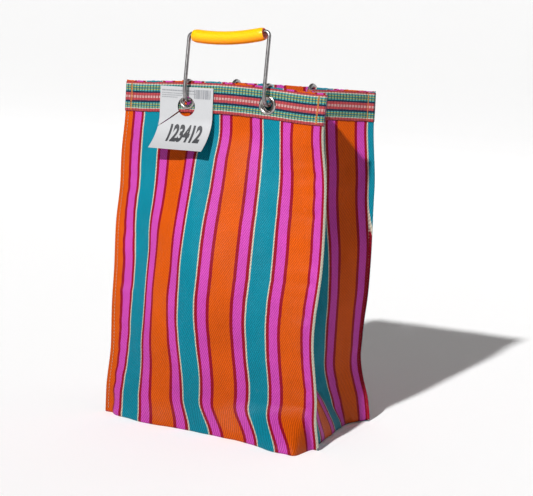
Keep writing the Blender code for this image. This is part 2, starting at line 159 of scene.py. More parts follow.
# Eyelets and handles
EYELET_RADIUS = 0.0125
BORE_RADIUS = 0.0066
CROWN_RADIUS = 0.00225
WIRE_RADIUS = 0.0025
LEG_SPACING = 0.12
EYE_RADIUS = 0.013
EYE_TURN = radians(304)
BAR_HEIGHT = 0.073
BEND_RADIUS = 0.006
BAR_SAG = 0.0045
GRIP_LENGTH = 0.104
BAR_TILT = atan(4 * BAR_SAG / GRIP_LENGTH)
GRIP_RADIUS = 0.00875
GRIP_BORE = 0.0055
GRIP_SIDES, GRIP_STEPS = 40, 40
GRIP_LIP = (0.0012, 0.0004, 0.0001)
HANDLES = {
    # facing, middle, fold towards the inside, rise of the left and right leg, shift inward of the left leg
    "front": (-1, 0.004, radians(6), 0.0015, 0.0075, 0.002),
    "back": (1, -0.003, radians(178.5), 0, 0, 0),
}
EYE_DEPTH = MOUTH_DEPTH / 2 + GAP

# Swing tag
TAG_WIDTH = 0.081
TAG_LENGTH = 0.088
TAG = 0.0004
TAG_HOLE_RADIUS = 0.0132
TAG_HOLE_SHIFT = 0.001
TAG_HOLE_DROP = 0.0083
TAG_CURL = 0.027
TAG_FLAT_LENGTH = 0.04
SLIT_ANGLE = radians(-146)
SLIT_HALF_WIDTH = 0.0011
SLIT_TAPER = 0.012
SMALL_PRINT = (
    # lines of dashes: distance down, height, right end
    (0.0045, 0.0016, 0.014), (0.0085, 0.001, 0.013), (0.0112, 0.001, -0.006), (0.0139, 0.001, -0.014),
)

# Stitches: (length, radius of the thread)
END_STITCH = (0.0032, 0.00042)
SEAM_STITCH = (0.0034, 0.00036)
SEAM_PITCH = 0.0046
STITCH_STAND = GAP + BAND + 0.0002
DOUBLED = (-0.0007, 0.0007)

# Camera and light
CAMERA_PLACE = (0.8803, -1.7071, 0.5052)
CAMERA_TURN = radians(26.362)
CAMERA_DOWN = radians(7.8475)
CAMERA_ROLL = radians(2.672)
CAMERA_LENS = 94.56
SUN_TRAVEL = (0.03, 1, -0.62)
SUN_STRENGTH = 4.3
SUN_ANGLE = radians(2.2)
FILL_COLOUR = (1, 0.965, 0.95, 1)
FILL_STRENGTH = 0.15
FLOOR_REACH = 40
WALL_PLACE = 7
SWEEP_RADIUS = 2.5
SWEEP_HEIGHT = 5
WALL_LIFT = 0.06  # makes up for the bounced light that the floor gets and the wall does not


# ---------- helpers ----------


def smooth(start, end, value):
    """0 at start, 1 at end, and level at both."""
    part = np.clip((np.asarray(value, float) - start) / (end - start), 0, 1)
    return part * part * (3 - 2 * part)


def through(points, place):
    """A smooth curve through (place, value) pairs, level past both ends."""
    places, values = np.array(points, float).T
    slopes = np.gradient(values, places)
    slopes[[0, -1]] = 0
    place = np.clip(np.asarray(place, float), places[0], places[-1])
    k = np.clip(np.searchsorted(places, place) - 1, 0, len(places) - 2)
    span = places[k + 1] - places[k]
    t = (place - places[k]) / span
    start = (1 + 2 * t) * (1 - t) ** 2 * values[k] + t * (1 - t) ** 2 * span * slopes[k]
    end = t * t * (3 - 2 * t) * values[k + 1] + t * t * (t - 1) * span * slopes[k + 1]
    return start + end


def below_band(z, reach):
    """0 at the webbing's lower edge and 1 from reach below it."""
    return smooth(BAND_BOTTOM, BAND_BOTTOM - reach, z)


def joined(*coordinates):
    """Points or places from their coordinates, each an array or one number for all."""
    return np.stack(np.broadcast_arrays(*coordinates), -1)


def ripple(places, size, seed):
    """Smooth noise, about -1 to 1, at each of the places, an array (..., 3). size is its grain."""
    flat = places.reshape(-1, 3) / size + seed
    values = [noise.noise(Vector(point)) for point in flat]
    return np.array(values).reshape(places.shape[:-1]) * 1.6


def grid_mesh(name, points, places, turned=False):
    """A mesh through points (rows, columns, 3). places (rows, columns, 2) are where they lie on the flat
    cloth in metres, and become the UV map."""
    rows, columns = points.shape[:2]
    index = np.arange(rows * columns).reshape(rows, columns)
    faces = np.stack([index[:-1, :-1], index[:-1, 1:], index[1:, 1:], index[1:, :-1]], -1).reshape(-1, 4)
    if turned:
        faces = faces[:, ::-1]
    mesh = smooth_mesh(name, points.reshape(-1, 3), faces.tolist())
    layer = mesh.uv_layers.new(name="Cloth")
    corners = np.empty(len(mesh.loops), np.int32)
    mesh.loops.foreach_get("vertex_index", corners)
    layer.data.foreach_set("uv", places.reshape(-1, 2)[corners].astype(np.float32).ravel())
    return mesh


def smooth_mesh(name, points, faces):
    mesh = bpy.data.meshes.new(name)
    mesh.from_pydata([tuple(point) for point in points], [], faces)
    mesh.shade_smooth()
    return mesh


def add_object(name, data):
    made = bpy.data.objects.new(name, data)
    bpy.context.scene.collection.objects.link(made)
    return made


def add_piece(mesh, body, made_of):
    mesh.materials.append(made_of)
    piece = add_object(mesh.name, mesh)
    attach(piece, body)
    return piece


def thicken(piece, thickness):
    solidify = piece.modifiers.new("Thickness", "SOLIDIFY")
    solidify.thickness = thickness
    solidify.offset = -1
    solidify.use_even_offset = False
    return piece


def punch(mesh, holes, radius):
    """Removes the faces round each hole's centre, seen along Y, and rounds the edge that is left."""
    points = np.empty(len(mesh.vertices) * 3)
    mesh.vertices.foreach_get("co", points)
    points = points.reshape(-1, 3)
    seen = points[:, ::2]
    doomed = set()
    for hole in holes:
        centre = np.array(hole)[::2]
        offsets = seen - centre
        near = (np.hypot(*offsets.T) < radius) & (abs(points[:, 1] - hole[1]) < 0.02)
        doomed |= {face.index for face in mesh.polygons if all(near[v] for v in face.vertices)}
        ring = {v for face in mesh.polygons if face.index in doomed for v in face.vertices}
        for v in ring:
            distance = np.hypot(*offsets[v])
            if 0.6 * radius < distance < 1.1 * radius:
                seen[v] = centre + offsets[v] * radius / distance
    mesh.vertices.foreach_set("co", points.ravel())
    work = bmesh.new()
    work.from_mesh(mesh)
    work.faces.ensure_lookup_table()
    bmesh.ops.delete(work, geom=[work.faces[k] for k in doomed], context="FACES")
    work.to_mesh(mesh)
    work.free()
    mesh.update()


# ---------- shape of the bag ----------


def half_width(z):
    belly = smooth(BAND_BOTTOM, BELLY_FULL, z)
    foot = smooth(*FOOT_SPREADS, z)
    return (MOUTH_WIDTH + (BELLY_WIDTH - MOUTH_WIDTH) * belly + (BASE_WIDTH - BELLY_WIDTH) * foot) / 2


def half_depth(z):
    return (MOUTH_DEPTH + (BASE_DEPTH - MOUTH_DEPTH) * smooth(DEPTH_GROWS, DEPTH_FULL, z)) / 2


def flange_width(facing, side, z):
    """What shows of a corner's seam allowance, which has rolled back lower down on the right."""
    return FLANGE + (ROLLED_FLANGE[facing] - FLANGE) * smooth(*ROLLED, z) * (side > 0)


def edge_x(facing, side, z):
    """X of a corner's flange edge. side is -1 on the left and 1 on the right."""
    corner = ("front" if facing < 0 else "back") + ("_left" if side < 0 else "_right")
    return side * (half_width(z) + through(EDGE_WAVES[corner], z))


def lift(facing, across, z):
    """How far the cloth stands above its plain height, near the rim."""
    return through(RIM_LIFT[facing], across) * smooth(LIFT_STARTS, BAND_BOTTOM, z)


def swell(facing, across, z):
    """How far a big panel stands out from the plane of its seams."""
    left = through(BELLY_LEFT, z)
    right = through(BELLY_RIGHT, z)
    peak = left / (left + right)
    inner = np.clip(across, 0, 1)
    round_shape = (inner / peak) ** left * ((1 - inner) / (1 - peak)) ** right
    belly = through(BELLY[facing], z) * round_shape
    share = smooth(FOOT_HEIGHT, 0, z)
    return belly * (1 - share) + through(FOOT_SWELL[facing], across) * share


def big_panel_points(facing, across, z):
    """Outer face of the front or the back. across is from 0 to 1 between the seams, and z a height."""
    left_flange = flange_width(facing, -1, z)
    right_flange = flange_width(facing, 1, z)
    left = edge_x(facing, -1, z) + left_flange
    right = edge_x(facing, 1, z) - right_flange
    inner = np.clip(across, 0, 1)
    past = (across - inner) / FLANGE_ACROSS
    x = left + (right - left) * inner + past * np.where(past < 0, left_flange, right_flange)
    if facing < 0:
        x += through(SPILL_ACROSS, inner) * through(SPILL, z)
    y = facing * (half_depth(z) + swell(facing, inner, z))
    return joined(x, y, z + lift(facing, inner, z))


def panel_across(count):
    """Places across a big panel, closer near its seams, with its flanges a little past 0 and 1."""
    turn = np.linspace(0, 1, count)
    inner = 0.5 * turn + 0.5 * (1 - np.cos(pi * turn)) / 2
    flange = FLANGE_ACROSS * np.array([1, 0.5])
    return np.concatenate([-flange, inner, 1 + flange[::-1]])


def wrinkled(points, across, z, facing, seed):
    """Adds the small unevenness of worn cloth to a big panel: soft dents, puckers at the seams."""
    flat = joined(across * SEAM_WIDTH, 0, z)
    inner = np.clip(across, 0, 1)
    free = below_band(z, 0.03) * smooth(0, 0.07, inner) * smooth(1, 0.93, inner)
    long_grain = flat * np.array([1, 1, 0.45])
    soft = 0.003 * ripple(long_grain, 0.055, seed) + 0.0011 * ripple(long_grain, 0.02, seed + 7)
    seam_distance = np.minimum(inner, 1 - inner) * SEAM_WIDTH
    pucker = np.exp(-seam_distance / 0.016) * smooth(0, 0.004, seam_distance)
    tight = flat * np.array([0.3, 1, 1])
    puckers = 0.0022 * pucker * ripple(tight, 0.014, seed + 13)
    points[..., 1] += facing * (soft * free + puckers * below_band(z, 0.02))
    return points


def cloth_lengths(points):
    """Distance across the cloth from its left edge, for every point of every row."""
    steps = np.linalg.norm(np.diff(points, axis=1), axis=2)
    return np.concatenate([np.zeros((len(points), 1)), np.cumsum(steps, axis=1)], axis=1)


def body_cloth(made_of):
    """The one length of cloth that runs down the front, under the base and up the back."""
    across = panel_across(108)
    heights = np.concatenate([[RIM_HEIGHT + 0.0003], np.linspace(RIM_HEIGHT - 0.001, FOLD_RADIUS, 168)])

    def panel_rows(facing, order):
        made = []
        for z in order:
            level = np.full_like(across, z)
            points = big_panel_points(facing, across, level)
            made.append(wrinkled(points, across, level, facing, CLOTH_SEEDS[facing]))
        return made

    front = panel_rows(-1, heights)
    back = panel_rows(1, heights[::-1])
    fray = 0.0008 * ripple(joined(across * 0.3, 0, 0), 0.004, 5)
    front[0][:, 2] += fray
    back[-1][:, 2] += fray[::-1]

    def fold_rows(start, facing):
        """The quarter turn under the foot, from upright to level."""
        made = []
        for step in range(1, 6):
            turn = pi / 2 * step / 5
            row = start.copy()
            row[:, 1] -= facing * FOLD_RADIUS * (1 - cos(turn))
            row[:, 2] = FOLD_RADIUS * (1 - sin(turn))
            made.append(row)
        return made

    front_fold = fold_rows(front[-1], -1)
    back_fold = fold_rows(back[0], 1)[::-1]
    start, end = front_fold[-1], back_fold[0]
    base = []
    for along in np.linspace(0, 1, 40)[1:-1]:
        row = start + (end - start) * along
        depth = abs(2 * along - 1)
        tucked = float(smooth(0, 0.05, min(along, 1 - along)))
        notch = gusset_crease_depth(0) * (1 - depth) + BASE_TUCK * tucked
        row[:, 0] *= 1 - notch / (BASE_WIDTH / 2)
        row[:, 2] = 0
        base.append(row)
    points = np.stack(front + front_fold + base + back_fold + back)
    lengths = cloth_lengths(points)
    share = lengths / lengths[:, -1:]
    stripes = np.interp(share, *np.array(FRONT_PLACES).T)
    steps = np.linalg.norm(np.diff(points[:, len(across) // 2], axis=0), axis=1)
    down = np.concatenate([[0], np.cumsum(steps)])
    places = joined(stripes, -down[:, None])
    mesh = grid_mesh("body_cloth", points, places, turned=True)
    punch_bores(mesh, "front")
    punch_bores(mesh, "back")
    piece = thicken(add_piece(mesh, "bag", made_of), CLOTH)
    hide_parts("front_panel", "back_panel", "base_panel")


def gusset_crease_depth(z):
    """How far in from its seams a gusset's crease lies."""
    plain = np.sqrt(GUSSET_HALF_CLOTH**2 - half_depth(z) ** 2)
    return plain + through(CREASE_EXTRA, z)


def gusset_points(side, z, along):
    """A gusset's outer face. along is from 0 at its back flange edge to 1 at its front one."""
    depth = half_depth(z) - CLOTH - GAP
    back_edge = abs(edge_x(1, side, z))
    front_edge = abs(edge_x(-1, side, z))
    inner = np.clip((along - FLANGE_ALONG) / (1 - 2 * FLANGE_ALONG), 0, 1)
    back_flange = flange_width(1, side, z)
    front_flange = flange_width(-1, side, z)
    rounded = np.hypot(2 * inner - 1, CREASE_ROUND) - CREASE_ROUND
    fold = 1 - rounded / (hypot(1, CREASE_ROUND) - CREASE_ROUND)
    flange = back_flange + (front_flange - back_flange) * inner
    seam = back_edge + (front_edge - back_edge) * inner - flange
    past = np.maximum(FLANGE_ALONG - along, along - 1 + FLANGE_ALONG) / FLANGE_ALONG
    x = seam - gusset_crease_depth(z) * fold + flange * np.clip(past, 0, 1)
    tuck = np.clip(1 - np.asarray(z) / TUCK_HEIGHT, 0, 1) ** 0.9
    y = depth * (1 - 2 * inner) + TUCK_SHIFT * tuck * fold
    ends = lift(1, 1, z) * (1 - inner) + lift(-1, 1, z) * inner
    bow = 0.002 * np.sin(pi * inner)
    height = z + ends + bow * smooth(LIFT_STARTS, BAND_BOTTOM, z)
    return joined(side * x, y, height)


def gusset_along(count):
    """Places along a gusset, closer together at its crease."""
    half = FLANGE_ALONG + (0.5 - FLANGE_ALONG) * np.linspace(0, 1, count) ** 0.85
    half = np.concatenate([np.linspace(0, FLANGE_ALONG, FLANGE_COLUMNS + 1)[:-1], half])
    return np.concatenate([half, 1 - half[-2::-1]])


def gusset(hand, side, made_of):
    along = gusset_along(34)
    heights = np.linspace(RIM_HEIGHT - 0.0008, 0.0014, 150)
    rows = []
    for z in heights:
        points = gusset_points(side, np.full_like(along, z), along)
        flat = joined(along * 0.2, 0, z * 0.5)
        free = below_band(z, 0.02) * smooth(0.02, 0.12, along) * smooth(0.98, 0.88, along)
        dents = 0.0016 * ripple(flat, 0.045, 21 + side) + 0.0007 * ripple(flat, 0.015, 27 + side)
        points[:, 0] += side * free * dents
        rows.append(points)
    points = np.stack(rows)
    lengths = cloth_lengths(points)
    back_seam, front_seam = FLANGE_COLUMNS, len(along) - 1 - FLANGE_COLUMNS
    between = lengths[:, [front_seam]] - lengths[:, [back_seam]]
    from_seam = (lengths - lengths[:, [back_seam]]) / between * 2 * GUSSET_HALF_CLOTH
    stripes = GUSSET_SEAM - from_seam
    if side > 0:
        rolled = smooth(*ROLLED, heights)[:, None]
        stripes = np.where(from_seam < 0, stripes + (ROLLED_EDGE - stripes) * rolled, stripes)
    places = joined(stripes, heights[:, None])
    mesh = grid_mesh(f"gusset_cloth_{hand}", points, places, turned=side < 0)
    piece = thicken(add_piece(mesh, "bag", made_of), CLOTH)
    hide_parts(f"gusset_{hand}")


# ---------- webbing ----------


def webbing_mesh(name, face_point, face_out, length, turned):
    """A strip of webbing. face_point(along, z) gives the cloth under it, and face_out its outward side."""
    along = np.linspace(0, 1, int(length / 0.0022))
    up = np.linspace(0, 1, 19)
    rows = []
    for share in up:
        z = BAND_BOTTOM + BAND_HEIGHT * share
        flat = joined(along * length, 0, share * 0.04)
        stand = GAP + BAND + 0.00025 * ripple(flat, 0.012, 37) - 0.0005 * abs(2 * share - 1) ** 8
        point = face_point(along, z) + face_out(along, z) * stand[:, None]
        if share in (0, 1):
            point[:, 2] += 0.0004 * ripple(flat, 0.006, 31)
        rows.append(point)
    places = joined(along * length, up[::-1, None] * BAND_HEIGHT)
    return grid_mesh(name, np.stack(rows[::-1]), places, turned)


def outward(face_point, along, z, sense):
    """Level direction away from the bag at each place of a strip."""
    step = 1e-3
    ahead = face_point(np.clip(along + step, 0, 1), z) - face_point(np.clip(along - step, 0, 1), z)
    out = joined(ahead[:, 1], -ahead[:, 0], 0) * sense
    return out / np.linalg.norm(out, axis=1)[:, None]


def big_webbing(place, facing, made_of):
    def face_point(along, z):
        across = -FLANGE_ACROSS + (1 + 2 * FLANGE_ACROSS) * along
        points = big_panel_points(facing, across, np.full_like(across, z))
        points[:, 1] = facing * MOUTH_DEPTH / 2
        return points

    def face_out(along, z):
        return joined(0 * along, facing, 0)

    mesh = webbing_mesh(f"rim_webbing_{place}", face_point, face_out, MOUTH_WIDTH, facing < 0)
    punch_bores(mesh, place)
    piece = thicken(add_piece(mesh, "bag", made_of), BAND)
    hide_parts(f"webbing_{place}")


def side_webbing(hand, side, made_of):
    def face_point(along, z):
        return gusset_points(side, np.full_like(along, z), along)

    def face_out(along, z):
        return outward(face_point, along, z, -side)

    mesh = webbing_mesh(f"rim_webbing_{hand}", face_point, face_out, GUSSET_WIDTH, side < 0)
    piece = thicken(add_piece(mesh, "bag", made_of), BAND)
    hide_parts(f"webbing_{hand}")


# ---------- stitching ----------


def stitch_mesh(name, centres, run, out, length, radius):
    """Separate stitches, short bowed lengths of thread. run is the thread's direction, out the face's."""
    points, faces = [], []
    sides, rings = 6, 6
    for centre, along, away in zip(centres, run, out):
        across = np.cross(along, away)
        first = len(points)
        for t in np.linspace(0, 1, rings + 1):
            bow = sin(pi * t)
            middle = centre + along * length * (t - 0.5) + away * radius * (1.4 * bow - 0.6)
            size = radius * (0.45 + 0.55 * bow)
            for turn in 2 * pi * np.arange(sides) / sides:
                points.append(middle + size * (cos(turn) * across + sin(turn) * away))
        faces += tube_faces(first, rings, sides)
    return smooth_mesh(name, points, faces)


def tube_faces(first, rings, sides):
    """The faces of a closed tube whose rings + 1 rings of points start at first."""
    faces = []
    for ring in range(rings):
        start = first + ring * sides
        for side in range(sides):
            a, b = start + side, start + (side + 1) % sides
            faces.append((a, b, b + sides, a + sides))
    last = first + rings * sides
    faces.append(tuple(reversed(range(first, first + sides))))
    faces.append(tuple(range(last, last + sides)))
    return faces


def end_stitching(made_of):
    """The doubled line of thread across each end of each length of webbing."""
    generator = random.Random(4)
    count = 13
    for facing, place, side, hand in CORNERS:
        on_wall, on_gusset = [], []
        for k in range(count):
            z = BAND_BOTTOM + BAND_HEIGHT * (0.04 + 0.92 * (k + 0.5) / count)
            lean = 0.12 if k % 2 else -0.12
            x = float(edge_x(facing, side, z) - side * (FLANGE + generator.uniform(-0.0004, 0.0004)))
            rise = float(lift(facing, (side + 1) / 2, z))
            along = np.array([0.046 if facing > 0 else 0.954])
            point = gusset_points(side, np.array([z]), along)[0]
            away = outward(lambda a, h: gusset_points(side, np.full_like(a, h), a), along, z, -side)[0]
            across = np.cross(away, (0, 0, 1))
            for sideways in DOUBLED:
                wall_point = (x + sideways, facing * (MOUTH_DEPTH / 2 + STITCH_STAND), z + rise)
                on_wall.append((wall_point, (lean, 0, 0.99), (0, facing, 0)))
                on_gusset.append((point + away * STITCH_STAND + across * sideways, (0, lean, 0.99), away))
        for kind, stitches in (("end", on_wall), ("side", on_gusset)):
            centres, run, out = np.array(stitches, float).swapaxes(0, 1)
            mesh = stitch_mesh(f"{kind}_stitching_{place}_{hand}", centres, run, out, *END_STITCH)
            piece = add_piece(mesh, "bag", made_of)
            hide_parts(f"{kind}_stitch_{place}_{hand}")


def edging_mesh(name):
    """Two yarns twisted together along the raw edge of the front right corner."""
    heights = np.linspace(0.004, BAND_BOTTOM - 0.001, 900)
    points = big_panel_points(-1, np.full_like(heights, 1 + FLANGE_ACROSS), heights)
    points[:, 0] += 0.0003 * ripple(joined(0, 0, heights), 0.02, 51)
    points[:, 1] += CLOTH / 2
    work = bmesh.new()
    for start in (0, pi):
        turn = start + heights * 2 * pi / 0.0085
        offset = joined(np.cos(turn), np.sin(turn), 0) * 0.0005
        strand = tube_mesh("strand", points + offset, [0.00075] * len(heights), 8)
        work.from_mesh(strand)
        bpy.data.meshes.remove(strand)
    mesh = bpy.data.meshes.new(name)
    work.to_mesh(mesh)
    work.free()
    mesh.shade_smooth()
    return mesh


def seam_stitching(made_of):
    """The running stitch that closes each corner, on the outer face of its flange. The front right corner
    has edging yarn in its place."""
    heights = np.arange(0.008, BAND_BOTTOM - 0.003, SEAM_PITCH)
    for facing, place, side, hand in CORNERS:
        name = f"seam_stitching_{place}_{hand}"
        across = np.full_like(heights, 0.5 + side * (0.5 + FLANGE_ACROSS / 2))
        points = big_panel_points(facing, across, heights)
        points = wrinkled(points, across, heights, facing, CLOTH_SEEDS[facing])
        points[:, 1] += facing * 0.0001
        run = np.gradient(points, axis=0)
        run /= np.linalg.norm(run, axis=1)[:, None]
        out = joined(0 * heights, facing, 0)
        if (place, hand) == ("front", "right"):
            mesh = edging_mesh(name)
        else:
            mesh = stitch_mesh(name, points, run, out, *SEAM_STITCH)
        piece = add_piece(mesh, "bag", made_of)
        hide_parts(f"seam_thread_{place}_{hand}")


# ---------- metal ----------


def eyelet_centre(side, place):
    """Middle of an eyelet at the wall. side is -1 on the left and 1 on the right."""
    low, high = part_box(f"eyelet_{place}_{'left' if side < 0 else 'right'}")
    facing = HANDLES[place][0]
    return ((low.x + high.x) / 2, facing * MOUTH_DEPTH / 2, (low.z + high.z) / 2)


def punch_bores(mesh, place):
    punch(mesh, [eyelet_centre(side, place) for side, _ in SIDES], BORE_RADIUS + 0.001)


def turned_mesh(name, profile, centre, facing, sides=64):
    """A profile of (radius, height outward) points turned about Y, as one closed ring."""
    points, faces = [], []
    count = len(profile)
    for side in range(sides):
        angle = 2 * pi * side / sides
        for radius, height in profile:
            offset = (radius * cos(angle), facing * height, radius * sin(angle))
            points.append(np.add(centre, offset))
        start, following = side * count, (side + 1) % sides * count
        for k in range(count):
            after = (k + 1) % count
            face = (start + k, start + after, following + after, following + k)
            faces.append(face[::-1] if facing > 0 else face)
    return smooth_mesh(name, points, faces)


def eyelets(made_of):
    """Each eyelet's ring outside, with its barrel rolled over at the back, and its washer inside."""
    foot = GAP + BAND + 0.0001
    inner = -CLOTH - 0.0002
    barrel, middle = BORE_RADIUS + 0.0006, EYELET_RADIUS - CROWN_RADIUS
    ring = [(BORE_RADIUS, foot + 0.0002)]
    for t in np.linspace(0, pi, 9):
        ring.append((middle - CROWN_RADIUS * cos(t), foot + 0.0017 * sin(t)))
    ring += [(EYELET_RADIUS, foot - 0.0001), (barrel, foot - 0.0001), (barrel, -CLOTH - 0.001)]
    for t in np.linspace(pi, 0, 7)[:-1]:
        ring.append((BORE_RADIUS + 0.0007 * (1 - cos(t)), -CLOTH - 0.0012 - 0.0007 * sin(t)))
    ring.append((BORE_RADIUS, -CLOTH))
    washer = [
        (BORE_RADIUS + 0.0009, inner), (EYELET_RADIUS, inner), (EYELET_RADIUS + 0.0001, inner - 0.0003),
        (EYELET_RADIUS - 0.0006, inner - 0.0008), (BORE_RADIUS + 0.0016, inner - 0.0009),
        (BORE_RADIUS + 0.0009, inner - 0.0006),
    ]
    for facing, place, side, hand in CORNERS:
        for kind, profile, node in (("ring", ring, "eyelet"), ("washer", washer, "washer")):
            name = f"eyelet_{kind}_{place}_{hand}"
            mesh = turned_mesh(name, profile, eyelet_centre(side, place), facing)
            piece = add_piece(mesh, "bag", made_of)
            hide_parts(f"{node}_{place}_{hand}")


def wire_path(facing, left_rise, right_rise, left_shift):
    """Eye, leg, bend, sagging bar and the same again, about the eyes' centre line."""
    y = facing * EYE_RADIUS

    def half(side, rise, shift):
        leg = LEG_SPACING / 2 - shift
        straight = BAR_HEIGHT + rise - BEND_RADIUS
        made = []
        for turn in EYE_TURN * (1 - np.arange(37) / 36):
            x = leg + (1 - cos(turn)) / 2 * shift
            made.append((side * x, y * cos(turn), -EYE_RADIUS * sin(turn)))
        for step in range(1, 8):
            made.append((side * leg, y, straight * step / 8))
        for turn in (pi / 2 + BAR_TILT) * np.arange(9) / 9:
            x = leg - BEND_RADIUS * (1 - cos(turn))
            made.append((side * x, y, straight + BEND_RADIUS * sin(turn)))
        return made

    bar = bar_path(facing, left_rise, right_rise, left_shift, 30)
    return half(-1, left_rise, left_shift) + bar + half(1, right_rise, 0)[::-1]


def bar_path(facing, left_rise, right_rise, left_shift, steps):
    inset = BEND_RADIUS + BEND_RADIUS * sin(BAR_TILT)
    left, right = -LEG_SPACING / 2 + left_shift + inset, LEG_SPACING / 2 - inset
    height = BAR_HEIGHT - BEND_RADIUS * (1 - cos(BAR_TILT))
    made = []
    for u in np.arange(steps + 1) / steps:
        rise = left_rise + (right_rise - left_rise) * u
        sag = BAR_SAG * (1 - (2 * u - 1) ** 2)
        made.append((left + (right - left) * u, facing * EYE_RADIUS, height + rise - sag))
    return made


def tube_mesh(name, path, radii, sides):
    """A tube along a path, closed by flat ends. radii holds the radius at each point."""
    ahead = np.gradient(path, axis=0)
    ahead /= np.linalg.norm(ahead, axis=1)[:, None]
    side_way = np.cross(ahead[0], [0.3, 0.5, 0.8])
    points = []
    for middle, direction, radius in zip(np.array(path), ahead, radii):
        side_way = side_way - direction * side_way.dot(direction)
        side_way /= np.linalg.norm(side_way)
        other = np.cross(direction, side_way)
        for turn in 2 * pi * np.arange(sides) / sides:
            points.append(middle + radius * (cos(turn) * side_way + sin(turn) * other))
    mesh = smooth_mesh(name, points, tube_faces(0, len(path) - 1, sides))
    mesh.set_sharp_from_angle(angle=radians(50))
    return mesh


def handle(place, steel, vinyl, vinyl_inside):
    facing, middle, fold, *bends = HANDLES[place]
    eye_height = eyelet_centre(-1, place)[2] + EYE_RADIUS
    eyes = Matrix.Translation((middle, facing * EYE_DEPTH, eye_height))
    stand = eyes @ Matrix.Rotation(facing * fold, 4, "X")
    path = wire_path(facing, *bends)
    radii = [WIRE_RADIUS] * len(path)
    radii[0] = radii[-1] = WIRE_RADIUS * 0.8
    mesh = tube_mesh(f"bail_wire_{place}", path, radii, 20)
    mesh.transform(stand)
    wire = add_piece(mesh, f"{place}_handle", steel)
    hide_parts(f"handle_wire_{place}")

    # The grip's tube runs along the bar outside and back inside, and hangs on the wire by its bore
    drop = GRIP_BORE - WIRE_RADIUS - GAP
    bar = [(x, y, z - drop) for x, y, z in bar_path(facing, *bends, GRIP_STEPS)]
    outer = [GRIP_RADIUS] * len(bar)
    for k, lip in enumerate(GRIP_LIP):
        outer[k] = outer[-1 - k] = GRIP_RADIUS - lip
    radii = outer + [GRIP_BORE] * len(bar)
    mesh = tube_mesh(f"tube_grip_{place}", bar + bar[::-1], radii, GRIP_SIDES)
    close_tube(mesh, len(radii), GRIP_SIDES)
    mesh.transform(stand)
    grip = add_piece(mesh, f"{place}_handle", vinyl)
    # The bore's faces take the second material, whose deep red is painted shade and the reddish glow of
    # light inside the translucent tube
    mesh.materials.append(vinyl_inside)
    for face in mesh.polygons:
        if max(face.vertices) >= len(bar) * GRIP_SIDES:
            face.material_index = 1
    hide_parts(f"grip_{place}")


def close_tube(mesh, rings, sides):
    """Joins the first ring to the last, so that a tube that ran out and back is a wall with a bore."""
    work = bmesh.new()
    work.from_mesh(mesh)
    work.verts.ensure_lookup_table()
    caps = [face for face in work.faces if len(face.verts) == sides]
    bmesh.ops.delete(work, geom=caps, context="FACES_ONLY")
    work.verts.ensure_lookup_table()
    last = (rings - 1) * sides
    for side in range(sides):
        after = (side + 1) % sides
        pairs = (last + side, last + after, after, side)
        work.faces.new([work.verts[k] for k in pairs])
    bmesh.ops.recalc_face_normals(work, faces=work.faces)
    work.to_mesh(mesh)
    work.free()
    mesh.shade_smooth()
    mesh.set_sharp_from_angle(angle=radians(60))


# ---------- swing tag ----------

tag_low, tag_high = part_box("swing_tag")
TAG_FACE = tag_high.y  # the card's flat upper part
TAG_TOP = tag_high.z
TAG_MIDDLE = (tag_low.x + tag_high.x) / 2


def tag_point(x, down):
    """A point of the card. x is from its middle and down from its top edge."""
    past = np.clip((down - TAG_FLAT_LENGTH) / (TAG_LENGTH - TAG_FLAT_LENGTH), 0, 1)
    out = TAG_CURL * past**1.7
    rise = 0.006 * past**2
    cup = 0.0012 * np.cos(pi * x / TAG_WIDTH) * (1 - past)
    y = TAG_FACE - TAG - out - cup + 0.0012
    return joined(TAG_MIDDLE + x, y, TAG_TOP - down + rise)


def swing_tag(paper, ink, grey_ink):
    x, down = np.meshgrid(np.linspace(-TAG_WIDTH / 2, TAG_WIDTH / 2, 97), np.linspace(0, TAG_LENGTH, 105))
    points = tag_point(x, down)
    places = joined(x, -down)
    mesh = grid_mesh("tag_card", points, places, turned=True)
    hole_height = eyelet_centre(-1, "front")[2] - TAG_HOLE_DROP
    hole = (TAG_MIDDLE + TAG_HOLE_SHIFT, TAG_FACE - TAG, hole_height)
    punch(mesh, [hole], TAG_HOLE_RADIUS)
    cut_slit(mesh, hole)
    card = add_piece(mesh, "tag", paper)
    thicken(card, TAG)
    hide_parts("swing_tag")

    digits = bpy.data.curves.new("tag_digits", "FONT")
    digits.body = "123412"
    digits.size = 0.033
    digits.align_x = "CENTER"
    digits.shear = 0.05
    digits.offset = 0.0015
    text = add_object("digits", digits)
    bpy.context.view_layer.update()
    flat = bpy.data.meshes.new_from_object(text.evaluated_get(bpy.context.evaluated_depsgraph_get()))
    bpy.data.objects.remove(text)
    print_on_tag("tag_digits", flat, ink, shift=0.003, drop=-0.0745, narrow=0.53)

    bars = bpy.data.meshes.new("tag_bars")
    quads, faces = [], []

    def bar(x0, x1, down0, down1):
        first = len(quads)
        quads.extend([(x0, -down1, 0), (x1, -down1, 0), (x1, -down0, 0), (x0, -down0, 0)])
        faces.append((first, first + 1, first + 2, first + 3))

    generator = random.Random(9)
    place = 0.0125
    while place < 0.0375:
        wide = generator.choice((0.0007, 0.0012, 0.0018))
        bar(place, place + wide, 0.003, 0.015)
        place += wide + generator.choice((0.0004, 0.0007, 0.0011))
    for down, size, end in SMALL_PRINT:
        place = -0.0375
        while place < end:
            wide = generator.uniform(0.0008, 0.0022)
            bar(place, place + wide, down, down + size)
            place += wide + generator.uniform(0.0003, 0.0007)
    bars.from_pydata(quads, [], faces)
    print_on_tag("tag_print", bars, grey_ink)


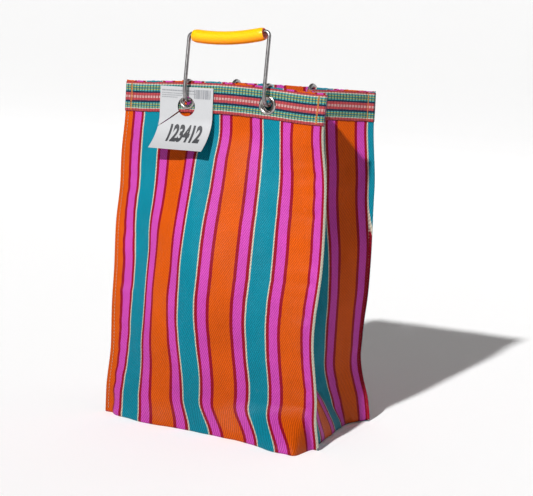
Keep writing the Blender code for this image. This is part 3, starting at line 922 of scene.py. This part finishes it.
def cut_slit(mesh, hole):
    """Opens the card from its hole to the lower left edge, a little wider at the hole."""
    run = Vector((cos(SLIT_ANGLE), 0, sin(SLIT_ANGLE)))
    middle = Vector(hole)
    work = bmesh.new()
    work.from_mesh(mesh)
    edges = []
    for sense in (-1, 1):
        across = Vector((-run.z, 0, run.x)) * sense
        point = middle + across * SLIT_HALF_WIDTH
        normal = (across + run * SLIT_TAPER).normalized()
        edges.append((point, normal))
        everything = work.verts[:] + work.edges[:] + work.faces[:]
        bmesh.ops.bisect_plane(work, geom=everything, plane_co=point, plane_no=normal)
    doomed = []
    for face in work.faces:
        centre = face.calc_center_median()
        inside = all((centre - point).dot(normal) < 0 for point, normal in edges)
        if inside and (centre - middle).dot(run) > 0:
            doomed.append(face)
    bmesh.ops.delete(work, geom=doomed, context="FACES")
    work.to_mesh(mesh)
    work.free()


def print_on_tag(name, flat, made_of, shift=0, drop=0, narrow=1):
    """Wraps a flat drawing onto the card, a hair in front of it."""
    work = bmesh.new()
    work.from_mesh(flat)
    bmesh.ops.triangulate(work, faces=work.faces)
    for _ in range(3):
        long_edges = [edge for edge in work.edges if edge.calc_length() > 0.0025]
        bmesh.ops.subdivide_edges(work, edges=long_edges, cuts=1)
    bmesh.ops.triangulate(work, faces=work.faces)
    work.to_mesh(flat)
    work.free()
    places = np.array([(v.co.x * narrow + shift, -(v.co.y + drop)) for v in flat.vertices])
    points = tag_point(*places.T)
    points[:, 1] -= 0.00025
    flat.vertices.foreach_set("co", points.ravel())
    flat.update()
    flat.name = name
    flat.materials.clear()
    add_piece(flat, "tag", made_of)


# ---------- materials ----------


class Nodes:
    """Helps to wire the nodes of one material."""

    def __init__(self, name):
        self.material = bpy.data.materials.new(name)
        self.material.use_nodes = True
        self.tree = self.material.node_tree
        self.shader = self.tree.nodes["Principled BSDF"]

    def add(self, kind, **settings):
        node = self.tree.nodes.new(kind)
        for key, value in settings.items():
            setattr(node, key, value)
        return node

    def feed(self, socket, value):
        if isinstance(value, bpy.types.NodeSocket):
            self.tree.links.new(value, socket)
        else:
            socket.default_value = value

    def maths(self, operation, first, second=0, third=0):
        node = self.add("ShaderNodeMath", operation=operation)
        for socket, value in zip(node.inputs, (first, second, third)):
            self.feed(socket, value)
        return node.outputs[0]

    def times(self, first, second):
        return self.maths("MULTIPLY", first, second)

    def mix(self, share, first, second):
        node = self.add("ShaderNodeMix", data_type="RGBA")
        self.feed(node.inputs[0], share)
        self.feed(node.inputs[6], first)
        self.feed(node.inputs[7], second)
        return node.outputs[2]

    def scaled(self, colour, amount):
        """The colour made lighter or darker by a factor."""
        node = self.add("ShaderNodeVectorMath", operation="SCALE")
        self.feed(node.inputs[0], colour)
        self.feed(node.inputs["Scale"], amount)
        return node.outputs[0]

    def uv(self):
        vector = self.add("ShaderNodeUVMap", uv_map="Cloth").outputs[0]
        u, v, _ = self.split(vector)
        return vector, u, v

    def place(self):
        return self.add("ShaderNodeTexCoord").outputs["Object"]

    def split(self, vector):
        node = self.add("ShaderNodeSeparateXYZ")
        self.feed(node.inputs[0], vector)
        return node.outputs

    def yarns(self, place, pitch):
        """A rounded ridge for each yarn."""
        wave = self.maths("SINE", self.times(place, pi / pitch))
        return self.maths("ABSOLUTE", wave)

    def grain(self, vector, scale, detail=3, rough=0.5):
        node = self.add("ShaderNodeTexNoise")
        self.feed(node.inputs["Vector"], vector)
        node.inputs["Scale"].default_value = scale
        node.inputs["Detail"].default_value = detail
        node.inputs["Roughness"].default_value = rough
        return node.outputs["Fac"]

    def ramp(self, factor, stops, constant=False):
        node = self.add("ShaderNodeValToRGB")
        node.color_ramp.interpolation = "CONSTANT" if constant else "LINEAR"
        elements = node.color_ramp.elements
        while len(elements) < len(stops):
            elements.new(0.5)
        for element, (place, colour) in zip(elements, stops):
            element.position = place
            element.color = (*colour, 1)
        self.feed(node.inputs[0], factor)
        return node.outputs[0]

    def stretched(self, vector, scale):
        node = self.add("ShaderNodeMapping")
        self.feed(node.inputs["Vector"], vector)
        node.inputs["Scale"].default_value = scale
        return node.outputs[0]

    def bump(self, height, distance, strength=1, below=None):
        node = self.add("ShaderNodeBump")
        node.inputs["Strength"].default_value = strength
        node.inputs["Distance"].default_value = distance
        self.feed(node.inputs["Height"], height)
        if below is not None:
            self.feed(node.inputs["Normal"], below)
        return node.outputs[0]

    def set(self, **values):
        for key, value in values.items():
            self.feed(self.shader.inputs[key.replace("_", " ")], value)
        return self.material


def spread(low, high, nodes, value):
    """value from 0..1 to low..high."""
    return nodes.maths("MULTIPLY_ADD", value, high - low, low)


def striped_cloth(name, painted_shade_at_floor):
    """Woven plastic tape: stripes along the warp, a diagonal twill, a low gloss, and painted shade: the
    colour scaled by height towards the floor.
    """
    n = Nodes(name)
    vector, u, v = n.uv()
    jitter = n.maths("SUBTRACT", n.grain(vector, 900, 2), 0.5)
    place = n.maths("MULTIPLY_ADD", jitter, 0.0007, u)
    turn = n.maths("FRACT", n.maths("DIVIDE", n.maths("ADD", place, 4 * REPEAT), REPEAT))
    stops, at = [], 0
    for width, colour in STRIPES:
        stops.append((at / 1000 / REPEAT, COLOURS[colour]))
        at += width
    colour = n.ramp(turn, stops, constant=True)

    pitch, slope = 0.0026, 1.9
    rise = n.maths("SUBTRACT", n.times(u, slope), v)
    wobble = n.grain(vector, 420, 1)
    diagonal = n.maths("MULTIPLY_ADD", wobble, 0.5, n.maths("DIVIDE", rise, pitch * slope))
    twill = n.maths("MULTIPLY_ADD", n.maths("SINE", n.times(diagonal, 2 * pi)), 0.5, 0.5)
    threads = n.times(n.yarns(u, 0.0011), n.yarns(v, 0.0013))
    weave = n.maths("MULTIPLY_ADD", threads, 0.35, n.times(twill, 0.65))

    streak = n.grain(n.stretched(vector, (700, 22, 1)), 1, 3, 0.6)
    cloud = n.grain(vector, 14, 4, 0.6)
    shade = n.times(spread(0.9, 1.08, n, streak), spread(0.8, 1.2, n, cloud))
    shade = n.times(shade, spread(0.52, 1.26, n, weave))
    # Painted shade: below the set height the colour is scaled towards the given factor at the floor,
    # darker on the body cloth and a little lighter on the gussets, standing in for light and shade
    painted_shade_by_height = n.add("ShaderNodeMapRange", interpolation_type="SMOOTHSTEP")
    n.feed(painted_shade_by_height.inputs["Value"], n.split(n.place())[2])
    painted_shade_by_height.inputs["From Max"].default_value = PAINTED_SHADE_HEIGHT
    painted_shade_by_height.inputs["To Min"].default_value = painted_shade_at_floor
    shade = n.times(shade, painted_shade_by_height.outputs[0])
    shaded = n.scaled(colour, shade)
    pale = n.times(n.maths("SUBTRACT", n.grain(vector, 46, 5, 0.7), 0.62), 0.25)
    worn = n.mix(n.maths("MAXIMUM", pale, 0), shaded, (0.7, 0.5, 0.4, 1))
    rough = spread(0.34, 0.56, n, n.grain(vector, 60, 3))
    rough = n.maths("MULTIPLY_ADD", weave, -0.06, rough)
    relief = n.bump(weave, 0.00035, 0.8)
    relief = n.bump(n.grain(vector, 55, 4), 0.0012, 0.35, relief)
    return n.set(Base_Color=worn, Roughness=rough, Normal=relief, Specular_IOR_Level=0.1)


WEBBING_ROWS = (
    # share of the width from the bottom edge, colour
    (0.00, "coral"), (0.1, "cream"), (0.125, "mint"), (0.16, "olive"), (0.195, "teal"), (0.235, "olive"),
    (0.27, "mint"), (0.31, "navy"), (0.38, "coral"), (0.63, "navy"), (0.69, "mint"), (0.735, "olive"),
    (0.775, "teal"), (0.815, "olive"), (0.85, "mint"), (0.905, "cream"), (0.935, "coral"),
)
WEBBING_COLOURS = {
    "coral": (0.46, 0.06, 0.07),
    "cream": (0.56, 0.5, 0.4),
    "mint": (0.07, 0.33, 0.32),
    "olive": (0.34, 0.36, 0.11),
    "teal": (0.02, 0.22, 0.26),
    "navy": (0.006, 0.025, 0.065),
}


def webbing_material():
    """Ribbed woven tape: coloured rows, with dark gaps between the ribs."""
    n = Nodes("patterned_webbing")
    vector, u, v = n.uv()
    wobble = n.maths("SUBTRACT", n.grain(vector, 380, 2), 0.5)
    share = n.maths("DIVIDE", n.maths("MULTIPLY_ADD", wobble, 0.0012, v), BAND_HEIGHT)
    rows = n.ramp(share, [(at, WEBBING_COLOURS[c]) for at, c in WEBBING_ROWS], constant=True)
    rib = n.maths("FRACT", n.maths("DIVIDE", n.maths("MULTIPLY_ADD", wobble, 0.001, u), RIB_PITCH))
    gap = n.maths("GREATER_THAN", rib, 0.7)
    grey = [(0, 0, 0), (1, 1, 1)]
    bounds = (0, 0.125, 0.31, 0.69, 0.905)
    fields = n.ramp(share, [(at, grey[k % 2]) for k, at in enumerate(bounds)], constant=True)
    dark = n.times(gap, n.maths("MULTIPLY_ADD", fields, 0.62, 0.2))
    dashed = n.mix(dark, rows, (0.008, 0.05, 0.06, 1))
    middle = n.maths("LESS_THAN", n.maths("ABSOLUTE", n.maths("SUBTRACT", share, 0.505)), 0.04)
    white = n.times(middle, n.maths("LESS_THAN", rib, 0.74))
    dashed = n.mix(n.times(white, 0.7), dashed, (0.6, 0.42, 0.4, 1))
    weave = n.maths("POWER", n.times(n.yarns(u, RIB_PITCH), n.yarns(v, 0.0018)), 0.5)
    fuzz = n.grain(vector, 2600, 3, 0.7)
    shade = n.times(spread(0.62, 1.1, n, weave), spread(0.7, 1.25, n, fuzz))
    shade = n.times(shade, spread(0.85, 1.12, n, n.grain(vector, 60, 3)))
    shaded = n.scaled(dashed, shade)
    relief = n.bump(weave, 0.001, 1)
    relief = n.bump(fuzz, 0.0003, 0.5, relief)
    rough = spread(0.72, 0.92, n, fuzz)
    return n.set(Base_Color=shaded, Roughness=rough, Normal=relief, Specular_IOR_Level=0.2)


def thread_material(name, dark, light):
    n = Nodes(name)
    ply = n.grain(n.place(), 1800, 3, 0.7)
    colour = n.ramp(ply, [(0.25, dark), (0.75, light)])
    relief = n.bump(ply, 0.0002, 0.6)
    return n.set(Base_Color=colour, Roughness=spread(0.5, 0.75, n, ply), Normal=relief, Sheen_Weight=0.2)


def metal_material(name, dark, light, rough_low, rough_high, scale):
    n = Nodes(name)
    place = n.place()
    drawn = n.grain(n.stretched(place, (scale, scale, scale * 0.12)), 1, 4, 0.65)
    spots = n.grain(place, 240, 5, 0.7)
    tarnish = n.maths("MULTIPLY_ADD", drawn, 0.45, n.times(spots, 0.55))
    colour = n.ramp(tarnish, [(0.3, dark), (0.62, light)])
    rough = spread(rough_low, rough_high, n, tarnish)
    return n.set(Base_Color=colour, Metallic=1, Roughness=rough, Normal=n.bump(drawn, 0.00008, 0.5))


def vinyl_material(name, top, underside):
    """Soft vinyl that lets a little light through. Its colour is painted yellower on the side that is
    uppermost at rest and more orange beneath: painted light on the top, painted shade and glow underneath.
    """
    n = Nodes(name)
    place = n.place()
    # Painted light and shade: the colour follows how far the surface faces up at rest, yellow on top for
    # the light there and orange beneath for the shade and the glow through the vinyl
    painted_light_upward = n.split(n.add("ShaderNodeTexCoord").outputs["Normal"])[2]
    share = n.maths("MULTIPLY_ADD", painted_light_upward, 0.8, 0.85)
    share = n.times(share, spread(0.9, 1.1, n, n.grain(place, 60, 3)))
    colour = n.ramp(share, [(0.1, underside), (0.95, top)])
    n.set(Subsurface_Weight=0.4, Subsurface_Radius=(1, 0.35, 0.02), Subsurface_Scale=0.006)
    rough = spread(0.3, 0.42, n, n.grain(place, 300, 3))
    relief = n.bump(n.grain(place, 500, 2), 0.00005, 0.5)
    return n.set(Base_Color=colour, Roughness=rough, Normal=relief, Specular_IOR_Level=0.3)


def card_material(name, dark, light):
    """Coated card, or the ink printed on it."""
    n = Nodes(name)
    fibre = n.grain(n.place(), 900, 4, 0.7)
    colour = n.ramp(fibre, [(0.2, dark), (0.8, light)])
    relief = n.bump(fibre, 0.00005, 0.4)
    return n.set(Base_Color=colour, Roughness=spread(0.45, 0.6, n, fibre), Normal=relief)


# ---------- stage ----------


def studio():
    n = Nodes("pale_floor")
    sun_rise = -SUN_TRAVEL[2] / hypot(*SUN_TRAVEL)
    sun_level = SUN_TRAVEL[1] / hypot(*SUN_TRAVEL)
    stops = []
    for turn in np.linspace(0, pi / 2, 20):
        at = SWEEP_RADIUS * (1 - cos(turn)) / SWEEP_HEIGHT
        light = sun_level * sin(turn) + sun_rise * cos(turn)
        stops.append((at, (min(1, sun_rise / light * (1 + WALL_LIFT * sin(turn))),) * 3))
    colour = n.ramp(n.maths("DIVIDE", n.split(n.place())[2], SWEEP_HEIGHT), stops)
    floor_material = n.set(Base_Color=colour, Roughness=0.9, Specular_IOR_Level=0)

    bend = WALL_PLACE - SWEEP_RADIUS
    profile = [(-FLOOR_REACH, 0), (bend, 0)]
    for turn in np.linspace(0.1, pi / 2, 16):
        profile.append((bend + SWEEP_RADIUS * sin(turn), SWEEP_RADIUS * (1 - cos(turn))))
    profile.append((WALL_PLACE, SWEEP_HEIGHT))
    points = [(x, y, z) for y, z in profile for x in (-FLOOR_REACH, FLOOR_REACH)]
    faces = [(2 * k, 2 * k + 1, 2 * k + 3, 2 * k + 2) for k in range(len(profile) - 1)]
    mesh = smooth_mesh("sweep", points, faces)
    mesh.materials.append(floor_material)
    sweep = add_object("sweep", mesh)

    sun_data = bpy.data.lights.new("sun", "SUN")
    sun_data.energy = SUN_STRENGTH
    sun_data.angle = SUN_ANGLE
    sun = add_object("sun", sun_data)
    sun.rotation_euler = Vector(SUN_TRAVEL).to_track_quat("-Z", "Y").to_euler()

    world = bpy.data.worlds.new("soft_fill")
    world.use_nodes = True
    background = world.node_tree.nodes["Background"]
    background.inputs["Color"].default_value = FILL_COLOUR
    background.inputs["Strength"].default_value = FILL_STRENGTH
    bpy.context.scene.world = world
    bpy.context.scene.view_settings.view_transform = "Standard"
    bpy.context.scene.view_settings.look = "None"


def camera():
    data = bpy.data.cameras.new("camera")
    data.lens = CAMERA_LENS
    data.clip_start, data.clip_end = 0.05, 60
    eye = add_object("camera", data)
    aim = Matrix.Rotation(CAMERA_TURN, 4, "Z") @ Matrix.Rotation(pi / 2 - CAMERA_DOWN, 4, "X")
    eye.matrix_world = Matrix.Translation(CAMERA_PLACE) @ aim @ Matrix.Rotation(CAMERA_ROLL, 4, "Z")
    bpy.context.scene.camera = eye


camera()
studio()
# The body cloth is painted darker towards the floor (painted shade), the gussets a little lighter there
# (painted light)
body_cloth(striped_cloth("body_stripes", 0.74))
gusset_stripes = striped_cloth("gusset_stripes", 1.06)
webbing = webbing_material()
for side, hand in SIDES:
    gusset(hand, side, gusset_stripes)
    side_webbing(hand, side, webbing)
for facing, place in FACINGS:
    big_webbing(place, facing, webbing)
end_stitching(thread_material("orange_thread", (0.42, 0.12, 0.01), (0.8, 0.3, 0.03)))
seam_stitching(thread_material("grey_thread", (0.14, 0.17, 0.13), (0.42, 0.42, 0.33)))
eyelets(metal_material("eyelet_nickel", (0.2, 0.18, 0.17), (0.55, 0.52, 0.5), 0.16, 0.34, 500))
wire_steel = metal_material("bail_steel", (0.17, 0.165, 0.17), (0.42, 0.41, 0.41), 0.22, 0.45, 700)
# Painted light and shade: the first colour, yellow, is painted on the grips' upper side for the light
# there, the second, orange, beneath for the shade and glow
vinyl = vinyl_material("grip_vinyl_outside", (0.95, 0.47, 0.0005), (0.95, 0.22, 0.0005))
# The bores are painted deep red: painted shade and the reddish glow of light inside the translucent vinyl
vinyl_inside = vinyl_material("grip_vinyl_inside", (0.7, 0.035, 0.001), (0.7, 0.035, 0.001))
for place in HANDLES:
    handle(place, wire_steel, vinyl, vinyl_inside)
swing_tag(
    card_material("tag_card_paper", (0.385, 0.39, 0.4), (0.43, 0.435, 0.445)),
    card_material("digit_ink", (0.018, 0.019, 0.022), (0.05, 0.052, 0.058)),
    card_material("small_ink", (0.16, 0.165, 0.18), (0.28, 0.285, 0.3)),
)
